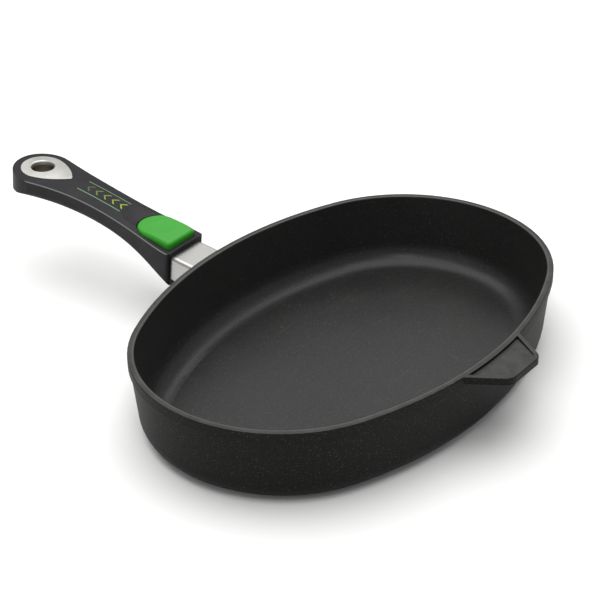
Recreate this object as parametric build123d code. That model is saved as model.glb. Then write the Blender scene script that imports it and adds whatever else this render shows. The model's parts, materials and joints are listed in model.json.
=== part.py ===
# Oval fish pan in cast aluminium with a handle that slides off its bracket.
# Lengths are millimetres. The origin is the centre of the base on the table,
# +X runs along the pan, +Y towards the handle and +Z up.
from build123d import *
import math
import os

# Pan casting
pan_length = 350.0            # over the rim, along X
pan_width = 240.0             # over the rim, along Y
pan_end_radius = 105.0        # plan radius of the rim's two ends
pan_height = 58.5
rim_band_height = 7.0         # thickened band below the rim's top
rim_step = 1.3                # how far the band stands proud of the wall
rim_top_width = 4.6           # flat top of the rim, outside to inside
rim_lip_radius = 0.9
wall_foot_inset = 6.4         # outer wall's lean, rim outline to base
floor_thickness = 5.0
floor_inset = 10.6            # inner wall's foot, inside the rim outline
outer_base_radius = 15.0
floor_radius = 17.0
foot_height = 0.8             # machined pad under the base
foot_inset = 24.0

# Helper lug opposite the handle
lug_root_width = 65.4
lug_tip_width = 34.6
lug_reach = 24.2              # beyond the rim
lug_thickness = 5.2
lug_corner_radius = 9.0
lug_border = 3.3
lug_recess_root = 2.0         # sunk face's depth where it meets the rim
lug_recess_tip = 0.8

# Handle frame: origin on the rim outline, Y along the handle, Z square to it
handle_rise = 6.0             # degrees the handle climbs away from the pan
bracket_top_z = 50.3          # bracket's top face where the frame starts

# Bracket, an inverted channel of sheet steel
bracket_width = 33.2
bracket_sheet = 1.5
bracket_bend = 3.0            # outer bend radius
bracket_start = 3.0           # face of the casting's boss
bracket_channel_end = 44.0
bracket_depth_root = 20.0     # channel's depth at the boss
bracket_depth_face = 18.0     # where it enters the handle
bracket_depth_end = 13.0
tongue_width = 20.0
tongue_end = 60.0
window_start = 48.6
window_end = 53.0
window_width = 12.0

# Boss on the casting and the bracket's screws
boss_side_gap = 0.3
boss_height = 22.0
boss_top_gap = 0.2
screw_size = 5.0              # M5
screw_spacing = 18.0
screw_drop = 10.0             # screw axis below the bracket's top face
screw_depth = 8.0
screw_head_diameter = 9.0
screw_head_height = 2.6
screw_hole_gap = 0.25
washer_thickness = 1.0
washer_diameter = 8.6
hex_size = 3.0

# Handle mouldings: distance, half width, heights of top edge and underside, crown
handle_stations = [
    (26.0, 20.0, 3.4, -23.8, 0.8),
    (48.0, 18.7, 5.1, -14.1, 1.4),
    (72.0, 16.4, 7.3, -7.2, 2.0),
    (100.0, 15.7, 9.7, -3.4, 2.0),
    (134.0, 17.9, 10.8, -2.2, 2.0),
    (163.0, 22.9, 9.9, -3.3, 2.0),
    (194.0, 26.0, 7.7, -6.6, 2.0),
]
handle_edge = 0.6             # bevel along the two top edges
handle_under_radius = 4.0
tail_centre = 168.5           # the tail is half round in plan
tail_width = 46.0
front_corner_radius = 3.0
slide_gap = 0.3               # handle to bracket, all round
mould_gap = 0.1               # between mouldings screwed together
side_wall = 2.0               # upper moulding beside the lower one
cover_end = 107.0
cover_step_start = 70.0
cover_step_end = 82.0
leaf_pad_height = 1.0

# Thumb dish and release button
dish_radius = 60.0
dish_depth = 1.8
dish_centre = 64.0
button_width = 30.0
button_front = 29.5
button_rear = 68.5
button_front_height = 8.9
button_middle_height = 9.7
button_rear_height = 7.5
button_corner_radius = 3.5
button_edge_radius = 2.4
button_gap = 0.6
button_wall = 1.8
button_underside = 0.8
button_hollow_radius = 90.0
button_hollow = 0.7
button_travel = 9.0           # degrees

# Hinge pin of the button
pin_place = 52.0
pin_height = 3.2
pin_diameter = 2.5
pin_gap = 0.05
barrel_diameter = 5.2
pin_reach_blind = 17.0
pin_reach_open = 17.7

# Latch leaf and its screws
leaf_thickness = 0.8
leaf_width = 8.4
leaf_height = -2.4            # middle of the leaf under the tongue
leaf_rise_start = 62.0
leaf_rise_end = 82.0
leaf_end = 98.0
hook_top = 0.6
hook_toe = 49.0
hook_gap = 0.3
leaf_room = 0.8
leaf_room_floor = -5.6
leaf_screw_places = (87.0, 93.5)
leaf_screw_size = 2.5
leaf_screw_length = 4.0
leaf_screw_head = 4.6
leaf_screw_head_height = 1.5
stem_place = 66.0
stem_width = 6.0
stem_length = 3.0
stem_gap = 0.3

# Button springs
spring_place = 62.4
spring_spread = 6.9
spring_coil_radius = 1.6
spring_wire = 0.45
spring_turns = 5
spring_foot = -3.4
spring_pocket_gap = 0.3

# Screws that hold the lower moulding, and their inserts
cover_screw_places = [(-10.8, 75.5), (10.8, 75.5), (-8.5, 101.5), (8.5, 101.5)]
cover_screw_size = 3.0
cover_screw_head = 5.4
cover_screw_head_height = 1.8
cover_screw_engagement = 3.6
insert_diameter = 4.4
insert_length = 4.2
insert_start = 1.6            # above the split between the mouldings

# Hanging eye
eye_place = 168.7
eye_bore_radius = 8.7
eye_wall = 0.9
eye_roll = 1.5                # radius the plate rolls down into the bore with
plate_radius = 16.6
plate_side_radius = 50.0
plate_tip = 139.0
plate_tip_radius = 1.6
plate_thickness = 1.0
plate_proud = 0.35
ring_radius = 12.4
ring_thickness = 1.2

half_length = pan_length / 2
half_width = pan_width / 2
handle_place = Location((0, half_width, bracket_top_z), (handle_rise, 0, 0))
big = 400.0                   # longer than anything, for cutting


def oval(inset, height):
    """Four tangent arcs: two ends and two long sides, moved in by inset."""
    side_radius = (half_length**2 + half_width**2 - 2 * half_length * pan_end_radius) / (
        2 * (half_width - pan_end_radius)
    )
    end_centre = half_length - pan_end_radius
    side_centre = half_width - side_radius
    lean = math.atan2(-side_centre, end_centre)
    end_r = pan_end_radius - inset
    joint_x = end_centre + end_r * math.cos(lean)
    joint_y = end_r * math.sin(lean)
    long_x = half_length - inset
    long_y = half_width - inset
    arcs = [
        ThreePointArc((joint_x, -joint_y), (long_x, 0), (joint_x, joint_y)),
        ThreePointArc((joint_x, joint_y), (0, long_y), (-joint_x, joint_y)),
        ThreePointArc((-joint_x, joint_y), (-long_x, 0), (-joint_x, -joint_y)),
        ThreePointArc((-joint_x, -joint_y), (0, -long_y), (joint_x, -joint_y)),
    ]
    return Pos(0, 0, height) * make_face(arcs)


def lowest_edges(solid):
    """The ring of edges round a solid's lowest face."""
    return solid.faces().sort_by(Axis.Z)[0].edges()


def pan_outside():
    """Drafted wall with its rounded foot, and the band under the rim."""
    band_foot = pan_height - rim_band_height
    wall = loft([oval(wall_foot_inset, foot_height), oval(rim_step, band_foot)], ruled=True)
    wall = fillet(lowest_edges(wall), outer_base_radius)
    band = extrude(oval(0, band_foot), rim_band_height)
    foot = extrude(oval(foot_inset, 0), foot_height)
    return wall + band + foot


def pan_inside():
    """The hollow: drafted wall and a wide radius round the floor."""
    floor_z = foot_height + floor_thickness
    hollow = loft([oval(floor_inset, floor_z), oval(rim_top_width, pan_height)], ruled=True)
    return fillet(lowest_edges(hollow), floor_radius)


def lug_outline(inset):
    """Trapezoid with rounded tip corners, moved in by inset."""
    root_y = -half_width
    tip_y = root_y - lug_reach
    slope = (lug_root_width - lug_tip_width) / 2 / lug_reach
    side_inset = inset * math.sqrt(1 + slope**2)
    back_y = root_y + rim_top_width
    tip_y = tip_y + inset
    points = []
    for y in (back_y, tip_y):
        points.append((lug_root_width / 2 - (root_y - y) * slope - side_inset, y))
    outline = Polyline(points[0], points[1], (-points[1][0], tip_y), (-points[0][0], back_y), close=True)
    face = make_face(outline)
    corners = face.vertices().sort_by(Axis.Y)[:2]
    return fillet(corners, lug_corner_radius - inset)


def lug():
    """The lug's plate, and the sunk face in its top that slopes down to the rim."""
    plate = extrude(Pos(0, 0, pan_height) * lug_outline(0), -lug_thickness)
    tip_y = -half_width - lug_reach
    slope = make_face(Polyline(
        (0, -half_width + rim_top_width, pan_height + 1), (0, tip_y, pan_height + 1),
        (0, tip_y, pan_height - lug_recess_tip), (0, -half_width, pan_height - lug_recess_root),
        (0, -half_width + rim_top_width, pan_height - lug_recess_root), close=True,
    ))
    recess = extrude(lug_outline(lug_border), big) & extrude(slope, lug_root_width, dir=(1, 0, 0), both=True)
    return plate, recess - extrude(oval(0, 0), big)


def handle_box(x0, x1, y0, y1, z0, z1):
    """A box given by its limits in the handle frame."""
    middle = ((x0 + x1) / 2, (y0 + y1) / 2, (z0 + z1) / 2)
    return Pos(*middle) * Box(x1 - x0, y1 - y0, z1 - z0)


def along_handle(radius, x, z, y0, y1):
    """A round bar parallel to the handle."""
    return Pos(x, (y0 + y1) / 2, z) * Rot(90, 0, 0) * Cylinder(radius, y1 - y0)


def upright(radius, x, y, z0, z1):
    """A round bar square to the handle."""
    return Pos(x, y, (z0 + z1) / 2) * Cylinder(radius, z1 - z0)


def side_prism(points, half):
    """A side view (distance, height) carried across the handle by half each way."""
    face = make_face(Polyline([(0, y, z) for y, z in points], close=True))
    return extrude(face, half, dir=(1, 0, 0), both=True)


def boss_screw_xs():
    return (-screw_spacing / 2, screw_spacing / 2)


def pan_body():
    boss_half = bracket_width / 2 - bracket_sheet - boss_side_gap
    boss_top = -bracket_sheet - boss_top_gap
    boss = handle_box(-boss_half, boss_half, -12, bracket_start, boss_top - boss_height, boss_top)
    boss_edges = boss.edges().filter_by(Axis.Y)
    boss = fillet(boss_edges, 2.0)
    plate, recess = lug()
    body = pan_outside() + plate + handle_place * boss
    body -= pan_inside()
    rim_edges = []
    top_faces = body.faces().filter_by(Axis.Z).sort_by(Axis.Z)[-1:]
    for face in top_faces:
        rim_edges += face.edges()
    body = fillet(rim_edges, rim_lip_radius)
    body -= recess
    for x in boss_screw_xs():
        hole = along_handle(screw_size / 2, x, -screw_drop, bracket_start - screw_depth, bracket_start + 1)
        body -= handle_place * hole
    return body


def bracket_side(start, grow):
    """Side view of the channel, moved out by grow below and at its far end."""
    end = bracket_channel_end + grow
    face_place = handle_stations[0][0]
    return [
        (start, grow),
        (end, grow),
        (end, -bracket_depth_end - grow),
        (face_place, -bracket_depth_face - grow),
        (start, -bracket_depth_root - grow),
    ]


def channel_outside(start, grow):
    """The channel as a solid block with its two bends rounded."""
    block = side_prism(bracket_side(start, grow), bracket_width / 2 + grow)
    bends = block.edges().filter_by(Axis.Y).sort_by(Axis.Z)[-2:]
    return fillet(bends, bracket_bend + grow)


def channel_inside():
    half = bracket_width / 2 - bracket_sheet
    block = handle_box(-half, half, -big, big, -big, -bracket_sheet)
    bends = block.edges().filter_by(Axis.Y).sort_by(Axis.Z)[-2:]
    return fillet(bends, bracket_bend - bracket_sheet)


def tongue(grow):
    half = tongue_width / 2 + grow
    low = -bracket_sheet - grow
    plate = handle_box(-half, half, bracket_channel_end - 2, tongue_end + grow, low, grow)
    corners = plate.edges().filter_by(Axis.Z).sort_by(Axis.Y)[-2:]
    return fillet(corners, 3.0)


def handle_bracket():
    bracket = channel_outside(bracket_start, 0) - channel_inside() + tongue(0)
    back_half = bracket_width / 2 - bracket_sheet - boss_side_gap
    back_low = -boss_height
    back = handle_box(
        -back_half, back_half, bracket_start, bracket_start + bracket_sheet, back_low, -bracket_sheet / 2
    )
    bracket += back
    window_half = window_width / 2
    bracket -= handle_box(-window_half, window_half, window_start, window_end, -bracket_sheet - 1, 1)
    for x in boss_screw_xs():
        radius = screw_size / 2 + screw_hole_gap
        bracket -= along_handle(radius, x, -screw_drop, bracket_start - 1, bracket_start + bracket_sheet + 1)
    return handle_place * bracket


def lock_washers():
    start = bracket_start + bracket_sheet
    washers = []
    for x in boss_screw_xs():
        ring = along_handle(washer_diameter / 2, x, -screw_drop, start, start + washer_thickness)
        ring -= along_handle(
            screw_size / 2 + screw_hole_gap, x, -screw_drop, start - 1, start + washer_thickness + 1
        )
        washers.append(handle_place * ring)
    return Compound(washers)


def bracket_screws():
    seat = bracket_start + bracket_sheet + washer_thickness
    screws = []
    for x in boss_screw_xs():
        shank_end = bracket_start - screw_depth + 0.6
        shank = along_handle(screw_size / 2, x, -screw_drop, shank_end, seat)
        head = along_handle(screw_head_diameter / 2, x, -screw_drop, seat, seat + screw_head_height)
        head = chamfer(head.edges().sort_by(Axis.Y)[-1], 0.8)
        socket_face = Pos(x, seat + screw_head_height, -screw_drop) * Rot(90, 0, 0)
        socket = extrude(socket_face * RegularPolygon(hex_size / 2, 6, major_radius=False), 1.5)
        screws.append(handle_place * (shank + head - socket))
    return Compound(screws)


def handle_section(distance, half, top, under, crown):
    """Crowned and bevelled top, straight sides and a rounded underside, square to the handle."""
    r = handle_under_radius
    k = r * (1 - math.sqrt(0.5))
    shoulder = half - handle_edge
    side_top = top - handle_edge
    top_arc = ThreePointArc((-shoulder, 0, top), (0, 0, top + crown), (shoulder, 0, top))
    right_bevel = Line((shoulder, 0, top), (half, 0, side_top))
    right = Line((half, 0, side_top), (half, 0, under + r))
    right_turn = ThreePointArc((half, 0, under + r), (half - k, 0, under + k), (half - r, 0, under))
    base = Line((half - r, 0, under), (r - half, 0, under))
    left_turn = ThreePointArc((r - half, 0, under), (k - half, 0, under + k), (-half, 0, under + r))
    left = Line((-half, 0, under + r), (-half, 0, side_top))
    left_bevel = Line((-half, 0, side_top), (-shoulder, 0, top))
    outline = Wire([top_arc, right_bevel, right, right_turn, base, left_turn, left, left_bevel])
    return Pos(0, distance, 0) * Face(outline)


def handle_form():
    """The handle's whole outside: a loft along it, half round at the tail in plan."""
    sections = [handle_section(*station) for station in handle_stations]
    form = loft(sections)
    front = handle_stations[0][0]
    length = tail_centre - front
    plan = Pos(0, front + length / 2) * Rectangle(tail_width, length)
    plan += Pos(0, tail_centre) * Circle(tail_width / 2)
    form &= extrude(plan, big, both=True)
    r = front_corner_radius
    for side in (-1, 1):
        corner_x = side * handle_stations[0][1]
        middle_x = corner_x - side * r
        corner = handle_box(*sorted((middle_x, corner_x + side)), front - 1, front + r, -big, big)
        form -= corner - upright(r, middle_x, front + r, -big, big)
    return form


def plan_outline(inset, start, end):
    """The handle's plan view between two distances, with its sides moved in."""
    right = [(half - inset, distance) for distance, half, top, under, crown in handle_stations[:5]]
    side = Spline(right)
    mirrored = Spline([(-x, y) for x, y in right])
    front = Line(mirrored @ 0, side @ 0)
    back = Line(side @ 1, mirrored @ 1)
    whole = extrude(make_face([front, side, back, mirrored]), big, both=True)
    return whole & handle_box(-big, big, start, end, -big, big)


def cover_block(gap):
    """What the lower moulding fills, moved out by gap, before it meets the outside."""
    front = handle_stations[0][0]
    core_top = -bracket_sheet - slide_gap
    profile = [
        (front - 1, core_top + gap),
        (cover_step_start, core_top + gap),
        (cover_step_end, leaf_pad_height + gap),
        (cover_end + gap, leaf_pad_height + gap),
        (cover_end + gap, -big),
        (front - 1, -big),
    ]
    return side_prism(profile, big) & plan_outline(side_wall - gap, front - 1, cover_end + gap)


def bracket_room():
    """The slot the bracket slides in, open at the handle's front."""
    slot = channel_outside(-big / 4, slide_gap)
    half = bracket_width / 2 - bracket_sheet - slide_gap
    core = handle_box(-half, half, -big, big, -big, -bracket_sheet - slide_gap)
    bends = core.edges().filter_by(Axis.Y).sort_by(Axis.Z)[-2:]
    core = fillet(bends, bracket_bend - bracket_sheet)
    return slot - core + tongue(slide_gap)


def button_plan(grow):
    """D outline: square to the pan with rounded corners, half round at the rear."""
    half = button_width / 2 + grow
    centre = button_rear + grow - half
    front = button_front - grow
    left = Line((-half, centre), (-half, front))
    base = Line((-half, front), (half, front))
    right = Line((half, front), (half, centre))
    rear = ThreePointArc((half, centre), (0, centre + half), (-half, centre))
    face = make_face([left, base, right, rear])
    corners = face.vertices().sort_by(Axis.Y)[:2]
    return fillet(corners, button_corner_radius + grow)


def sweep_floor():
    """Just below the lowest point that the pressed button's rear edge reaches."""
    turn = math.radians(button_travel)
    arm = button_rear - pin_place
    drop = arm * math.sin(turn) + (pin_height - button_underside) * math.cos(turn)
    return pin_height - drop - slide_gap - 0.3


def button_sweep():
    """Room for the button's rear half to swing down into."""
    return extrude(Pos(0, 0, sweep_floor()) * button_plan(button_gap), big)


def leaf_room_block():
    """Space in the lower moulding for the leaf to bend down into."""
    half = leaf_width / 2 + leaf_room
    low = handle_box(-half, half, hook_toe - 2.5, leaf_rise_start + 6, leaf_room_floor, big)
    ramp = [
        (leaf_rise_start + 5.9, leaf_room_floor),
        (leaf_rise_end, leaf_pad_height - 0.6),
        (leaf_rise_end, big),
        (leaf_rise_start + 5.9, big),
    ]
    return low + side_prism(ramp, half)


def eye_prism(grow):
    """The teardrop of the eye's plate carried right through the handle."""
    big_r = plate_radius + grow
    tip_r = plate_tip_radius + grow
    side_r = plate_side_radius + grow
    tip_centre = plate_tip + plate_tip_radius
    reach = eye_place - tip_centre
    reach_big = plate_side_radius - plate_radius
    reach_tip = plate_side_radius - plate_tip_radius
    from_tip = (reach_tip**2 - reach_big**2 + reach**2) / (2 * reach)
    side_y = tip_centre + from_tip
    side_x = math.sqrt(reach_tip**2 - from_tip**2)
    side_big = (side_x / reach_big * big_r, eye_place + (eye_place - side_y) / reach_big * big_r)
    side_tip = (side_x / reach_tip * tip_r, tip_centre + (tip_centre - side_y) / reach_tip * tip_r)
    middle_y = (side_big[1] + side_tip[1]) / 2
    middle_x = math.sqrt(side_r**2 - (middle_y - side_y) ** 2) - side_x
    outline = [
        ThreePointArc(side_tip, (middle_x, middle_y), side_big),
        ThreePointArc(side_big, (0, eye_place + big_r), (-side_big[0], side_big[1])),
        ThreePointArc((-side_big[0], side_big[1]), (-middle_x, middle_y), (-side_tip[0], side_tip[1])),
        ThreePointArc((-side_tip[0], side_tip[1]), (0, tip_centre - tip_r), side_tip),
    ]
    return extrude(make_face(outline), big, both=True)


def between_stations(distance, pick):
    """A measure of the handle at a distance, straight between the stations beside it."""
    for before, after in zip(handle_stations, handle_stations[1:]):
        if before[0] <= distance <= after[0]:
            share = (distance - before[0]) / (after[0] - before[0])
            return pick(before) + (pick(after) - pick(before)) * share
    raise ValueError("outside the handle")


def top_height(distance):
    """Height of the handle's crowned middle at a distance."""
    return between_stations(distance, lambda station: station[2] + station[4])


def under_height(distance):
    return between_stations(distance, lambda station: station[3])


def cover_split(distance):
    """Height where the two mouldings meet at a distance."""
    core_top = -bracket_sheet - slide_gap
    share = (distance - cover_step_start) / (cover_step_end - cover_step_start)
    return core_top + (leaf_pad_height - core_top) * min(max(share, 0), 1)


def handle_shell(form):
    shell = form - cover_block(mould_gap) - bracket_room()
    dish_z = top_height(dish_centre) + dish_radius - dish_depth
    shell -= Pos(0, dish_centre, dish_z) * Sphere(dish_radius)
    shell -= extrude(Pos(0, 0, slide_gap) * button_plan(button_gap), big)
    shell -= button_sweep() & handle_box(-big, big, pin_place, big, -big, big)
    room_half = leaf_width / 2 + leaf_room
    room_top = leaf_pad_height + leaf_thickness + leaf_screw_head_height + leaf_room
    shell -= handle_box(-room_half, room_half, tongue_end, leaf_end + 1, sweep_floor(), room_top)
    shell -= across_handle(pin_diameter / 2, -pin_reach_blind - 0.2, big)
    shell -= eye_prism(mould_gap) - Pos(0, 0, plate_proud - plate_thickness) * form
    shell -= eye_bar(eye_bore_radius + eye_wall + mould_gap, -big, big)
    shell -= eye_bar(ring_radius + mould_gap, -big, ring_seat())
    for x, y in cover_screw_places:
        start = cover_split(y) + insert_start
        shell -= upright(insert_diameter / 2, x, y, -big, start + insert_length) & handle_box(
            -big, big, 0, big, start, big
        )
        shell -= upright(cover_screw_size / 2 + 0.2, x, y, cover_split(y) - 1, start + 0.1)
    return handle_place * shell


def eye_frame():
    """Frame on the handle's crown at the eye, Z square to the surface there."""
    step = 5.0
    rise = top_height(eye_place + step) - top_height(eye_place - step)
    lean = math.degrees(math.atan2(rise, 2 * step))
    return Location((0, eye_place, top_height(eye_place)), (lean, 0, 0))


def eye_bar(radius, z0, z1):
    """A round bar on the eye's axis."""
    return eye_frame() * upright(radius, 0, 0, z0, z1)


def ring_seat():
    """Depth, in the eye's frame, of the flat that its back ring lies against."""
    return under_height(eye_place) - top_height(eye_place) + ring_thickness + 0.8


def across_handle(radius, x0, x1):
    """A round bar on the hinge pin's axis."""
    return Pos((x0 + x1) / 2, pin_place, pin_height) * Rot(0, 90, 0) * Cylinder(radius, x1 - x0)


def handle_cover(form):
    cover = form & cover_block(0)
    cover -= bracket_room()
    cover -= leaf_room_block()
    cover -= button_sweep() & handle_box(-big, big, tongue_end + slide_gap, big, -big, big)
    spring_r = spring_coil_radius + spring_wire + spring_pocket_gap
    for x in (-spring_spread, spring_spread):
        cover -= upright(spring_r, x, spring_place, spring_foot, big)
    for y in leaf_screw_places:
        cover -= upright(leaf_screw_size / 2, 0, y, leaf_pad_height - leaf_screw_length, big)
    for x, y in cover_screw_places:
        head_seat = cover_head_seat(y)
        cover -= upright(cover_screw_size / 2 + 0.2, x, y, -big, big)
        cover -= upright(cover_screw_head / 2 + 0.2, x, y, -big, head_seat)
    return handle_place * cover


def cover_head_seat(distance):
    """Height of the flat under a cover screw's head."""
    return max(under_height(distance) + cover_screw_head_height + 0.5, cover_split(distance) - 3.0)


def cover_screws():
    screws = []
    for x, y in cover_screw_places:
        seat = cover_head_seat(y)
        tip = cover_split(y) + insert_start + cover_screw_engagement
        shank = upright(cover_screw_size / 2, x, y, seat, tip)
        head = upright(cover_screw_head / 2, x, y, seat - cover_screw_head_height, seat)
        head = chamfer(head.edges().sort_by(Axis.Z)[0], 0.5)
        cross = Box(cover_screw_head * 0.55, 0.7, 2.0) + Box(0.7, cover_screw_head * 0.55, 2.0)
        head -= Pos(x, y, seat - cover_screw_head_height) * cross
        screws.append(handle_place * (shank + head))
    return Compound(screws)


def thread_inserts():
    inserts = []
    for x, y in cover_screw_places:
        start = cover_split(y) + insert_start
        ring = upright(insert_diameter / 2, x, y, start, start + insert_length)
        ring -= upright(insert_diameter / 2 + 1, x, y, start + 1.6, start + 2.2) - upright(
            insert_diameter / 2 - 0.35, x, y, start, start + insert_length
        )
        ring -= upright(cover_screw_size / 2, x, y, start - 1, start + insert_length + 1)
        inserts.append(handle_place * ring)
    return Compound(inserts)


def release_button():
    low = button_underside
    block = extrude(Pos(0, 0, low) * button_plan(0), big / 4)
    crown = ThreePointArc(
        (0, button_front, button_front_height),
        (0, (button_front + button_rear) / 2, button_middle_height),
        (0, button_rear, button_rear_height),
    )
    below = Polyline(
        (0, button_rear, button_rear_height), (0, button_rear, low),
        (0, button_front, low), (0, button_front, button_front_height),
    )
    block &= extrude(make_face([crown, below]), button_width, dir=(1, 0, 0), both=True)
    top_face = block.faces().sort_by(Axis.Z)[-1]
    cap = fillet(top_face.edges(), button_edge_radius)
    hollow_z = button_middle_height - button_hollow + button_hollow_radius
    cap -= Pos(0, pin_place, hollow_z) * Sphere(button_hollow_radius)
    inside = extrude(Pos(0, 0, low) * button_plan(-button_wall), button_rear_height - low - button_wall - 0.6)
    cap -= inside
    spring_r = spring_coil_radius + spring_wire + spring_pocket_gap
    for x in (-spring_spread, spring_spread):
        cap -= upright(spring_r, x, spring_place, low - 1, spring_top())
    barrel = across_handle(barrel_diameter / 2, -button_width / 2 + 0.5, button_width / 2 - 0.5)
    web_top = button_rear_height - button_wall
    web = handle_box(
        -button_width / 2 + 1, button_width / 2 - 1, pin_place - 0.9, pin_place + 0.9, pin_height, web_top
    )
    leaf_top = leaf_middle(stem_place) + leaf_thickness / 2
    stem = handle_box(
        -stem_width / 2, stem_width / 2, stem_place - stem_length / 2, stem_place + stem_length / 2,
        leaf_top + stem_gap + 0.3, web_top,
    )
    stem = fillet(stem.edges().filter_by(Axis.X).sort_by(Axis.Z)[:2], 0.9)
    rear_room = button_rear - button_wall
    rib = handle_box(-0.75, 0.75, pin_place, min(stem_place, rear_room), low + 1.5, web_top)
    cap += barrel + web + stem + rib
    for x in (-spring_spread, spring_spread):
        cap += upright(spring_coil_radius - 0.35, x, spring_place, spring_top() - 1.2, web_top)
        cap += upright(spring_coil_radius + spring_wire + 0.1, x, spring_place, spring_top(), web_top)
    cap -= across_handle(pin_diameter / 2 + pin_gap, -big, big)
    return handle_place * cap


def hinge_pin():
    pin = across_handle(pin_diameter / 2, -pin_reach_blind, pin_reach_open)
    pin = chamfer(pin.edges(), 0.3)
    return handle_place * pin


def leaf_middle(distance):
    """Height of the leaf's middle line behind its hook."""
    pad = leaf_pad_height + leaf_thickness / 2
    share = (distance - leaf_rise_start) / (leaf_rise_end - leaf_rise_start)
    return leaf_height + (pad - leaf_height) * min(max(share, 0), 1)


def strip(start, end, half):
    """A flat piece of the leaf between two points of its middle line, rounded at both ends."""
    (y0, z0), (y1, z1) = start, end
    length = math.hypot(y1 - y0, z1 - z0)
    lean = math.degrees(math.atan2(z1 - z0, y1 - y0))
    middle = Pos(0, (y0 + y1) / 2, (z0 + z1) / 2) * Rot(lean, 0, 0)
    plate = middle * Box(2 * half, length, leaf_thickness)
    ends = [Pos(0, y, z) * Rot(0, 90, 0) * Cylinder(leaf_thickness / 2, 2 * half) for y, z in (start, end)]
    return plate + ends


def latch_leaf():
    half = leaf_width / 2
    hook_back = window_end - hook_gap - leaf_thickness / 2
    pad = leaf_pad_height + leaf_thickness / 2
    line = [
        (leaf_end - leaf_thickness / 2, pad),
        (leaf_rise_end, pad),
        (leaf_rise_start, leaf_height),
        (hook_back, leaf_height),
        (hook_back, hook_top - leaf_thickness / 2),
        (hook_toe, leaf_height - 0.6),
    ]
    leaf = strip(line[0], line[1], half)
    for start, end in zip(line[1:], line[2:]):
        leaf += strip(start, end, half)
    for y in leaf_screw_places:
        leaf -= upright(leaf_screw_size / 2 + 0.15, 0, y, -big, big)
    return handle_place * leaf


def leaf_screws():
    seat = leaf_pad_height + leaf_thickness
    screws = []
    for y in leaf_screw_places:
        shank = upright(leaf_screw_size / 2, 0, y, leaf_pad_height - leaf_screw_length + 0.4, seat)
        head = upright(leaf_screw_head / 2, 0, y, seat, seat + leaf_screw_head_height)
        head = chamfer(head.edges().sort_by(Axis.Z)[-1], 0.4)
        slot = Pos(0, y, seat + leaf_screw_head_height) * Box(leaf_screw_head + 1, 0.7, 1.4)
        screws.append(handle_place * (shank + head - slot))
    return Compound(screws)


def spring_top():
    return button_rear_height - button_wall - 2.2


def button_springs():
    """Two compression springs under the button's rear, each one unbroken wire."""
    wire_r = spring_wire / 2
    foot = spring_foot + wire_r
    height = spring_top() - wire_r - foot
    pitch = height / spring_turns
    gap = pitch - spring_wire
    print("least gap between spring turns", round(gap, 2))
    springs = []
    for x in (-spring_spread, spring_spread):
        path = Helix(pitch, height, spring_coil_radius)
        section = Plane(path @ 0, z_dir=path % 0) * RegularPolygon(wire_r, 6)
        coil = sweep(section, path, is_frenet=True)
        springs.append(handle_place * Pos(x, spring_place, foot) * coil)
    return Compound(springs)


def eyelet_plate(form):
    """Teardrop sheet that follows the handle's crown, drawn down into the eye's tube."""
    raised = Pos(0, 0, plate_proud) * form
    seat = Pos(0, 0, plate_proud - plate_thickness) * form
    plate = (eye_prism(0) & raised) - seat
    tube = eye_bar(eye_bore_radius + eye_wall, ring_seat() - ring_thickness, -0.5)
    return handle_place * (plate + tube - eye_cutter())


def eye_cutter():
    """The bore with its rolled mouth, in the handle frame."""
    wide = eye_bore_radius + eye_roll
    low = plate_proud - eye_roll
    k = eye_roll * math.sqrt(0.5)
    outline = [
        Line((0, -big), (eye_bore_radius, -big)),
        Line((eye_bore_radius, -big), (eye_bore_radius, low)),
        ThreePointArc((eye_bore_radius, low), (wide - k, low + k), (wide, plate_proud)),
        Line((wide, plate_proud), (wide, plate_proud + 5)),
        Line((wide, plate_proud + 5), (0, plate_proud + 5)),
        Line((0, plate_proud + 5), (0, -big)),
    ]
    return eye_frame() * revolve(Plane.XZ * make_face(outline), Axis.Z)


def eyelet_ring():
    seat = ring_seat()
    ring = upright(ring_radius, 0, 0, seat - ring_thickness, seat)
    ring -= upright(eye_bore_radius + eye_wall + 0.05, 0, 0, -big, big)
    ring = chamfer(ring.edges().sort_by(Axis.Z)[0], 0.4)
    return handle_place * eye_frame() * ring


def main():
    os.makedirs("parts", exist_ok=True)
    form = handle_form()
    nodes = {
        "pan_body": pan_body(),
        "handle_bracket": handle_bracket(),
        "bracket_screws": bracket_screws(),
        "lock_washers": lock_washers(),
        "handle_shell": handle_shell(form),
        "handle_cover": handle_cover(form),
        "cover_screws": cover_screws(),
        "thread_inserts": thread_inserts(),
        "release_button": release_button(),
        "hinge_pin": hinge_pin(),
        "latch_leaf": latch_leaf(),
        "leaf_screws": leaf_screws(),
        "button_springs": button_springs(),
        "eyelet_plate": eyelet_plate(form),
        "eyelet_ring": eyelet_ring(),
    }
    for name, solid in nodes.items():
        export_step(solid, f"parts/{name}.step")


main()
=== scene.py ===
import bpy
import json
import math
import numpy as np
from mathutils import Matrix, Vector

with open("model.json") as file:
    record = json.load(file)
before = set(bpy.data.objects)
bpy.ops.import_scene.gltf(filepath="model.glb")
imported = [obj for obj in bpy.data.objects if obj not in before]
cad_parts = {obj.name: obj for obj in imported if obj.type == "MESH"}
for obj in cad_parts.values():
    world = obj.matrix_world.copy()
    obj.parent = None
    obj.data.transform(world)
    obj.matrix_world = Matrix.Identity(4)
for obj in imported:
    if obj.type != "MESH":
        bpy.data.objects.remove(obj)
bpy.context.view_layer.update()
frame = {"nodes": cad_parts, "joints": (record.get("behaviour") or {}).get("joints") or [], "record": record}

# Studio
# A level sheet of pale paper that the pan stands on, a wide soft box overhead
# with three smaller ones round it, and a camera on a long lens.


def linear(hex_colour):
    """sRGB hex to linear red, green, blue and alpha."""
    parts = [int(hex_colour[i:i + 2], 16) / 255 for i in (1, 3, 5)]
    return [c / 12.92 if c <= 0.04045 else ((c + 0.055) / 1.055) ** 2.4 for c in parts] + [1.0]


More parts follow.
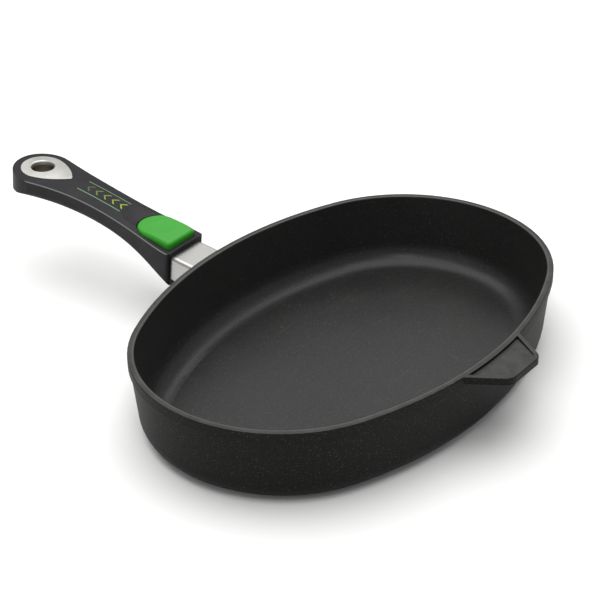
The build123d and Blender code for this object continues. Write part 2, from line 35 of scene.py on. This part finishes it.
def fill(tree, node, **inputs):
    """Sets a node's sockets, named or numbered as i0, i1: sockets are linked, constants set."""
    for name, value in inputs.items():
        key = int(name[1:]) if name[0] == "i" and name[1:].isdigit() else name.replace("_", " ")
        if isinstance(value, bpy.types.NodeSocket):
            tree.links.new(value, node.inputs[key])
        else:
            node.inputs[key].default_value = value


def add(tree, kind, settings=None, **inputs):
    """Adds a node of this kind with its properties set and its sockets filled."""
    node = tree.nodes.new("ShaderNode" + kind)
    for name, value in (settings or {}).items():
        setattr(node, name, value)
    fill(tree, node, **inputs)
    return node


def noise(tree, place, scale, detail=2.0, roughness=0.5):
    """Soft clouds from nothing to one, with about this many to the metre."""
    node = add(tree, "TexNoise", Vector=place, Scale=scale, Detail=detail, Roughness=roughness)
    return node.outputs["Fac"]


def blend(tree, share, first, second):
    """The first colour where the share is nothing, the second where it is one."""
    return add(tree, "MixRGB", Fac=share, Color1=first, Color2=second).outputs["Color"]


def new_material(name):
    """A material, its node tree, its Principled shader and its piece's Object coordinates."""
    material = bpy.data.materials.new(name)
    material.use_nodes = True
    tree = material.node_tree
    tree.nodes.clear()
    shader = add(tree, "BsdfPrincipled")
    add(tree, "OutputMaterial", Surface=shader.outputs["BSDF"])
    return material, tree, shader, add(tree, "TexCoord").outputs["Object"]


def mesh_piece(name, vertices, faces, material):
    """A mesh object in the frame's own metres, smooth shaded, with its material."""
    mesh = bpy.data.meshes.new(name)
    mesh.from_pydata(vertices.tolist(), [], faces.tolist())
    mesh.polygons.foreach_set("use_smooth", np.ones(len(mesh.polygons), bool))
    mesh.materials.append(material)
    piece = bpy.data.objects.new(name, mesh)
    bpy.context.scene.collection.objects.link(piece)
    return piece


paper, tree, shader, place = new_material("studio_paper")
tone = blend(tree, noise(tree, place, 5.0, 3.0), linear("#f4f4f3"), linear("#fafaf9"))
fill(tree, shader, Base_Color=tone, Roughness=0.9, Specular_IOR_Level=0.2)

floor_half = 6.0
floor_drop = 0.0002
floor_ends = (-floor_half, floor_half)
floor_grid = np.array([[x, y, -floor_drop] for y in floor_ends for x in floor_ends])
floor = mesh_piece("studio_floor", floor_grid, np.array([[0, 1, 3, 2]]), paper)

world = bpy.data.worlds.new("studio_world")
bpy.context.scene.world = world
world.use_nodes = True
fill(world.node_tree, world.node_tree.nodes["Background"], Color=linear("#ffffff"), Strength=0.42)

light_target = Vector((0.0, 0.0, 0.03))


def soft_box(name, place, width, height, watts):
    """A rectangular area light that faces the middle of the pan."""
    light = bpy.data.lights.new(name, "AREA")
    light.shape = "RECTANGLE"
    light.size = width
    light.size_y = height
    light.energy = watts
    lamp = bpy.data.objects.new(name, light)
    lamp.location = place
    lamp.rotation_euler = (light_target - Vector(place)).to_track_quat("-Z", "Y").to_euler()
    bpy.context.scene.collection.objects.link(lamp)


soft_box("overhead_box", place=(0.2, 0.3, 1.7), width=2.4, height=2.4, watts=42)
soft_box("left_box", place=(-1.5, 0.4, 1.0), width=0.9, height=0.9, watts=0.9)
soft_box("front_box", place=(-0.75, -0.6, 1.5), width=0.35, height=0.35, watts=3.0)
soft_box("back_box", place=(1.25, 1.0, 0.95), width=1.2, height=0.7, watts=0.8)

camera_azimuth = math.radians(-52.13)
camera_rise = math.radians(30.36)
camera_roll = math.radians(-1.07)
camera_distance = 1.364
camera_right = -0.0332
camera_up = 0.02995
camera_target = Vector((0, 0, 0.025))
lens_mm = 117.43
sensor_mm = 36.0

back = Vector((
    math.sin(camera_azimuth) * math.cos(camera_rise),
    -math.cos(camera_azimuth) * math.cos(camera_rise),
    math.sin(camera_rise),
))
level = Vector((math.cos(camera_azimuth), math.sin(camera_azimuth), 0))
upward = back.cross(level)
right = math.cos(camera_roll) * level + math.sin(camera_roll) * upward
up = -math.sin(camera_roll) * level + math.cos(camera_roll) * upward
stand = camera_target + back * camera_distance + right * camera_right + up * camera_up
lens = bpy.data.cameras.new("photo_camera")
lens.lens = lens_mm
lens.sensor_width = sensor_mm
camera = bpy.data.objects.new("photo_camera", lens)
camera.matrix_world = Matrix.Translation(stand) @ Matrix((right, up, back)).transposed().to_4x4()
bpy.context.scene.collection.objects.link(camera)
bpy.context.scene.camera = camera
bpy.context.scene.view_settings.view_transform = "Standard"

# Pan casting
# Die-cast aluminium, blasted and sprayed with a two-coat PTFE non-stick finish.
# The coat is satin with fine pale flecks, is rubbed along the rim and lightly
# scratched inside, and the foot underneath is turned back to bare metal. The
# inside is painted paler than the outside as painted light, and the rim's top
# is painted paler, partly from wear and partly as a painted highlight.
rim_height = max(corner[2] for corner in frame["nodes"]["pan_body"].bound_box)
foot_height = 0.0008
end_centre = 0.070
end_radius = 0.105
side_centre = 0.1562
side_radius = 0.2762


def calc(tree, operation, first, second=0.0):
    """One step of arithmetic between sockets or numbers."""
    return add(tree, "Math", {"operation": operation}, i0=first, i1=second).outputs["Value"]


def ramp(tree, value, low, high, start=0.0, end=1.0):
    """Runs from start to end while the value runs from low to high, and holds beyond them."""
    return add(tree, "MapRange", Value=value, i1=low, i2=high, i3=start, i4=end).outputs["Result"]


def span(tree, first, second):
    """The length of the sloping side of a right angle, from its two legs."""
    first_square = calc(tree, "MULTIPLY", first, first)
    second_square = calc(tree, "MULTIPLY", second, second)
    return calc(tree, "SQRT", calc(tree, "ADD", first_square, second_square))


def bumps(tree, pattern, strength, depth):
    """A surface roughened by a pattern, to this depth in metres."""
    return add(tree, "Bump", Height=pattern, Strength=strength, Distance=depth).outputs["Normal"]


def turned_rings(tree, place, scale, distortion, detail):
    """Rings about the upright axis, as a lathe leaves them."""
    settings = {"wave_type": "RINGS", "rings_direction": "Z"}
    node = add(tree, "TexWave", settings, Vector=place, Scale=scale, Distortion=distortion, Detail=detail)
    return node.outputs["Color"]


def rim_inset(tree, axes):
    """How far a point lies inside the rim's outline, whose plan is four tangent arcs."""
    x = calc(tree, "ABSOLUTE", axes.outputs["X"])
    y = calc(tree, "ABSOLUTE", axes.outputs["Y"])
    past = calc(tree, "SUBTRACT", x, end_centre)
    reach = calc(tree, "ADD", y, side_centre)
    to_end = calc(tree, "SUBTRACT", end_radius, span(tree, past, y))
    to_side = calc(tree, "SUBTRACT", side_radius, span(tree, x, reach))
    leaning = calc(tree, "MULTIPLY", x, side_centre)
    in_end = calc(tree, "GREATER_THAN", leaning, calc(tree, "MULTIPLY", reach, end_centre))
    in_side = calc(tree, "SUBTRACT", 1.0, in_end)
    from_end = calc(tree, "MULTIPLY", in_end, to_end)
    return calc(tree, "ADD", from_end, calc(tree, "MULTIPLY", in_side, to_side))


def dress(material, *names):
    """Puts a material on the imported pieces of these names."""
    for name in names:
        frame["nodes"][name].material_slots[0].material = material


coat, tree, shader, place = new_material("ptfe_coat_sprayed_on_cast_aluminium")
axes = add(tree, "SeparateXYZ", Vector=place)
height = axes.outputs["Z"]
clouds = noise(tree, place, 14.0, 4.0, 0.55)

# Inside and outside of the casting, told apart by the distance from the rim's outline
inside_low = 0.0035
wall_low = 0.020
inset_low = 0.014
inset_middle = 0.007
inset_top = 0.003
lower_limit = ramp(tree, height, inside_low, wall_low, inset_low, inset_middle)
upper_loss = ramp(tree, height, wall_low, rim_height, 0.0, inset_middle - inset_top)
limit = calc(tree, "SUBTRACT", lower_limit, upper_loss)
past_wall = calc(tree, "GREATER_THAN", rim_inset(tree, axes), limit)
inside = calc(tree, "MULTIPLY", past_wall, calc(tree, "GREATER_THAN", height, inside_low))
# The inner coat is a paler copy of the outer coat: painted light on the inner walls.
outer_coat = blend(tree, clouds, linear("#121211"), linear("#191918"))
inner_coat_with_painted_light = blend(tree, clouds, linear("#1d1d1d"), linear("#282827"))
colour = blend(tree, inside, outer_coat, inner_coat_with_painted_light)

# Pale flecks in the coat
fleck_size = 0.0009
flecks = ramp(tree, noise(tree, place, 1 / fleck_size, 1.0), 0.62, 0.78, 0.0, 0.55)
colour = blend(tree, flecks, colour, linear("#5a5a58"))

# Top of the rim painted paler where it faces up: partly rubbed wear, partly a painted highlight
rim_band = 0.0030
rim_round = 0.0018
level_low = 0.5
level_high = 0.9
facing_up = add(tree, "SeparateXYZ", Vector=add(tree, "TexCoord").outputs["Normal"]).outputs["Z"]
near_rim = ramp(tree, height, rim_height - rim_band, rim_height - rim_round)
rim_top_wear_and_highlight = calc(tree, "MULTIPLY", near_rim, ramp(tree, facing_up, level_low, level_high))
rim_patches = ramp(tree, noise(tree, place, 90.0, 5.0, 0.7), 0.35, 0.65, 0.6, 0.95)
colour = blend(tree, calc(tree, "MULTIPLY", rim_top_wear_and_highlight, rim_patches), colour, linear("#474745"))

# Scratches on the floor, long and all one way
floor_top = 0.0062
floor_rise = 0.0013
scratch_way = (0.0, 0.0, 0.5)
scratch_scale = (18.0, 900.0, 18.0)
stroke = add(tree, "Mapping", Vector=place, Rotation=scratch_way, Scale=scratch_scale).outputs["Vector"]
scratches = ramp(tree, noise(tree, stroke, 1.0), 0.70, 0.76, 0.0, 0.5)
on_floor = ramp(tree, height, floor_top + floor_rise, floor_top)
colour = blend(tree, calc(tree, "MULTIPLY", scratches, on_floor), colour, linear("#4a4945"))

# Turned foot
fine_rings = turned_rings(tree, place, 260.0, 0.4, 1.0)
wide_rings = turned_rings(tree, place, 34.0, 1.2, 2.0)
rings = blend(tree, 0.45, fine_rings, wide_rings)
bare = blend(tree, rings, linear("#8f9091"), linear("#c6c7c8"))
foot = ramp(tree, height, foot_height * 0.8, foot_height * 0.5)
colour = blend(tree, foot, colour, bare)

# Gloss, duller and with less sheen outside than inside
pebble_size = 0.0011
outer_dull = calc(tree, "MULTIPLY", calc(tree, "SUBTRACT", 1.0, inside), 0.18)
dullness = calc(tree, "ADD", ramp(tree, clouds, 0.3, 0.7, 0.30, 0.36), outer_dull)
sheen = ramp(tree, inside, 0.0, 1.0, 0.09, 0.28)
pebble_depth = 0.00014
pebbles = bumps(tree, noise(tree, place, 1 / pebble_size, 2.0, 0.6), 0.5, pebble_depth)
fill(tree, shader, Base_Color=colour, Metallic=foot, Normal=pebbles)
fill(tree, shader, Roughness=dullness, Specular_IOR_Level=sheen)
dress(coat, "pan_body")

# Bracket
# Stainless sheet pressed to an upside-down channel, satin brushed along the
# handle, with smears that make it duller in places.
steel, tree, shader, place = new_material("stainless_sheet_satin_brushed")
brush_scale = (2200.0, 30.0, 2200.0)
stretched = add(tree, "Mapping", Vector=place, Scale=brush_scale).outputs["Vector"]
grain = noise(tree, stretched, 1.0, 3.0)
tone = blend(tree, grain, linear("#a5a4a1"), linear("#bbbab7"))
dullness = ramp(tree, noise(tree, place, 55.0, 3.0), 0.3, 0.7, 0.30, 0.42)
brushed = bumps(tree, grain, 0.12, 0.00003)
fill(tree, shader, Base_Color=tone, Metallic=1.0, Roughness=dullness, Normal=brushed)
dress(steel, "handle_bracket")

# Eyelet
# The plate and the ring of the hanging eye, pressed from stainless sheet and
# bead blasted to an even grain. The tube has painted shade down inside.
blasted, tree, shader, place = new_material("stainless_sheet_bead_blasted")
eye = next(mount for mount in frame["record"]["mounts"] if mount["name"] == "hanging_eye")
eye_rise = 0.00785
eye_top = Vector(eye["pos_m"]) + eye_rise * Vector(eye["axis"])
eye_lean = math.atan2(-eye["axis"][1], eye["axis"][2])
eye_bore = eye["dims"]["r_mm"] / 1000
bore_skin = 0.0002
bore_edge = 0.0006
shade_start = -0.0016
shade_end = -0.0036
in_eye = add(
    tree, "Mapping", {"vector_type": "TEXTURE"},
    Vector=place, Location=eye_top, Rotation=(eye_lean, 0.0, 0.0),
)
eye_axes = add(tree, "SeparateXYZ", Vector=in_eye.outputs["Vector"])
off_axis = span(tree, eye_axes.outputs["X"], eye_axes.outputs["Y"])
in_bore = ramp(tree, off_axis, eye_bore + bore_edge, eye_bore + bore_skin)
bore_painted_shade = ramp(tree, eye_axes.outputs["Z"], shade_start, shade_end)
rubbed = noise(tree, place, 120.0, 4.0)
tone = blend(tree, rubbed, linear("#b9b8b3"), linear("#cccbc7"))
# Painted shade down inside the tube's bore, darker with depth.
tone = blend(tree, calc(tree, "MULTIPLY", in_bore, bore_painted_shade), tone, linear("#5d574c"))
dullness = ramp(tree, rubbed, 0.35, 0.65, 0.36, 0.5)
beads = bumps(tree, noise(tree, place, 3500.0), 0.2, 0.00002)
fill(tree, shader, Base_Color=tone, Metallic=1.0, Roughness=dullness, Normal=beads)
dress(blasted, "eyelet_plate", "eyelet_ring")

# Screws and washers
# Zinc-plated steel with a clear passivation that is faintly blue, dulled in
# patches by handling and steam.
zinc, tree, shader, place = new_material("steel_zinc_plated_passivated")
tarnish = noise(tree, place, 420.0, 5.0, 0.65)
tone = blend(tree, tarnish, linear("#8f949b"), linear("#b9bcbd"))
dullness = ramp(tree, tarnish, 0.3, 0.7, 0.28, 0.5)
plated = bumps(tree, tarnish, 0.1, 0.00003)
fill(tree, shader, Base_Color=tone, Metallic=1.0, Roughness=dullness, Normal=plated)
dress(zinc, "bracket_screws", "lock_washers", "cover_screws", "leaf_screws")

# Handle mouldings
# Phenolic thermoset, compression moulded in a spark-eroded tool: charcoal with
# a faint plum tint and matt, with a painted highlight in patches along its
# bevels. The shell has a pad print: two pale green pinstripes with a row of
# chevrons midway between them.


def within(tree, value, low, high, soft):
    """One between low and high, falling to nothing over soft on either side."""
    rise = ramp(tree, value, low - soft, low + soft)
    fall = ramp(tree, value, high + soft, high - soft)
    return calc(tree, "MULTIPLY", rise, fall)


def phenolic(name):
    """The moulded thermoset: what new_material gives, with its colour before any print."""
    material, tree, shader, place = new_material(name)
    flow = blend(tree, noise(tree, place, 25.0, 4.0), linear("#161417"), linear("#1d1a1e"))
    side_low = 0.45
    up_low = 0.4
    lean_high = 0.9
    lean_soft = 0.08
    # Painted highlight on the bevels that lean out and up, where the edges catch the light, broken into
    # patches.
    facing = add(tree, "SeparateXYZ", Vector=add(tree, "TexCoord").outputs["Normal"])
    sideways = calc(tree, "ABSOLUTE", facing.outputs["X"])
    out_lean = within(tree, sideways, side_low, lean_high, lean_soft)
    up_lean = within(tree, facing.outputs["Z"], up_low, lean_high, lean_soft)
    bevel = calc(tree, "MULTIPLY", out_lean, up_lean)
    handling_and_highlight_patches = noise(tree, place, 70.0, 5.0, 0.7)
    painted_bevel_highlight = calc(tree, "MULTIPLY", bevel, ramp(tree, handling_and_highlight_patches, 0.0, 1.0, 0.5))
    tone = blend(tree, painted_bevel_highlight, flow, linear("#7c837f"))
    dullness = ramp(tree, handling_and_highlight_patches, 0.35, 0.65, 0.42, 0.56)
    spark = bumps(tree, noise(tree, place, 2000.0), 0.25, 0.00005)
    fill(tree, shader, Base_Color=tone, Roughness=dullness, Specular_IOR_Level=0.22, Normal=spark)
    return material, tree, shader, place, tone


cover_resin, tree, shader, place, tone = phenolic("phenolic_thermoset_moulded")
dress(cover_resin, "handle_cover")

shell_resin, tree, shader, place, tone = phenolic("phenolic_thermoset_moulded_pad_printed")
slide = next(joint for joint in frame["joints"] if joint["name"] == "handle_slide")
handle_start = (0.0, 0.120, 0.0503)
handle_rise = math.atan2(slide["axis"][2], slide["axis"][1])
on_handle = add(
    tree, "Mapping", {"vector_type": "TEXTURE"},
    Vector=place, Location=handle_start, Rotation=(handle_rise, 0.0, 0.0),
)
handle_axes = add(tree, "SeparateXYZ", Vector=on_handle.outputs["Vector"])
across = calc(tree, "ABSOLUTE", handle_axes.outputs["X"])
along = handle_axes.outputs["Y"]
top_low = 0.004
top_high = 0.005
on_top = ramp(tree, handle_axes.outputs["Z"], top_low, top_high)
ink_edge = 0.00012
print_start = 0.0850
print_end = 0.1270

# Pinstripes
stripe_x = 0.0066
stripe_half = 0.0003
off_stripe = calc(tree, "ABSOLUTE", calc(tree, "SUBTRACT", across, stripe_x))
stripes = ramp(tree, off_stripe, stripe_half + ink_edge, stripe_half - ink_edge)
stripes = calc(tree, "MULTIPLY", stripes, within(tree, along, print_start, print_end, ink_edge))
tone = blend(tree, calc(tree, "MULTIPLY", stripes, on_top), tone, linear("#6f9b7c"))

# Chevrons that point to the tail, from yellow green near the pan to dark green
chevron_count = 5
chevron_half_width = 0.0036
chevron_bar = 0.0015
chevron_pitch = (print_end - print_start - chevron_bar) / chevron_count
row_start = print_start + chevron_half_width
row_edge = 0.01
slanted = calc(tree, "SUBTRACT", calc(tree, "ADD", along, across), row_start)
steps = calc(tree, "DIVIDE", slanted, chevron_pitch)
in_step = calc(tree, "MULTIPLY", calc(tree, "FRACT", steps), chevron_pitch)
bars = within(tree, in_step, ink_edge, ink_edge + chevron_bar, ink_edge)
bar_ends = ramp(tree, across, chevron_half_width + ink_edge, chevron_half_width - ink_edge)
row = within(tree, steps, 0.0, chevron_count, row_edge)
chevrons = calc(tree, "MULTIPLY", calc(tree, "MULTIPLY", bars, bar_ends), row)
ink = blend(tree, ramp(tree, along, print_start, print_end), linear("#94ab28"), linear("#2c4a34"))
tone = blend(tree, calc(tree, "MULTIPLY", chevrons, on_top), tone, ink)
fill(tree, shader, Base_Color=tone)
dress(shell_resin, "handle_shell")

# Thread inserts
# Turned brass pressed into the shell, gone a little brown in the air.
brass, tree, shader, place = new_material("brass_turned")
air = noise(tree, place, 300.0, 4.0)
tone = blend(tree, air, linear("#9c7b3c"), linear("#c8a659"))
fill(tree, shader, Base_Color=tone, Metallic=1.0, Roughness=ramp(tree, air, 0.0, 1.0, 0.25, 0.45))
dress(brass, "thread_inserts")

# Release button
# Glass-filled polyamide, injection moulded in grass green. Its satin skin is
# polished in patches by thumbs.
green, tree, shader, place = new_material("polyamide_green_injection_moulded")
flow = noise(tree, place, 60.0, 3.0)
tone = blend(tree, flow, linear("#2a8f1d"), linear("#339a26"))
dullness = ramp(tree, flow, 0.3, 0.7, 0.36, 0.5)
skin = bumps(tree, noise(tree, place, 1800.0), 0.15, 0.00003)
fill(tree, shader, Base_Color=tone, Roughness=dullness, Specular_IOR_Level=0.35, Normal=skin)
dress(green, "release_button")

# Hinge pin
# Stainless rod, centreless ground to a bright finish with faint bands.
pin_steel, tree, shader, place = new_material("stainless_rod_ground")
bands = add(
    tree, "TexWave", {"bands_direction": "X"},
    Vector=place, Scale=900.0, Distortion=1.5, Detail=2.0,
)
tone = blend(tree, bands.outputs["Fac"], linear("#a5a6a8"), linear("#c6c7c8"))
fill(tree, shader, Base_Color=tone, Metallic=1.0, Roughness=0.28)
dress(pin_steel, "hinge_pin")

# Latch leaf and springs
# Carbon spring steel, blanked for the leaf and coiled for the springs, then
# tempered blue-brown. Rubbed patches are smoother.
temper, tree, shader, place = new_material("carbon_spring_steel_tempered")
heat = noise(tree, place, 180.0, 4.0)
tone = blend(tree, heat, linear("#4d5560"), linear("#7d6f62"))
fill(tree, shader, Base_Color=tone, Metallic=1.0, Roughness=ramp(tree, heat, 0.3, 0.7, 0.26, 0.45))
dress(temper, "latch_leaf", "button_springs")
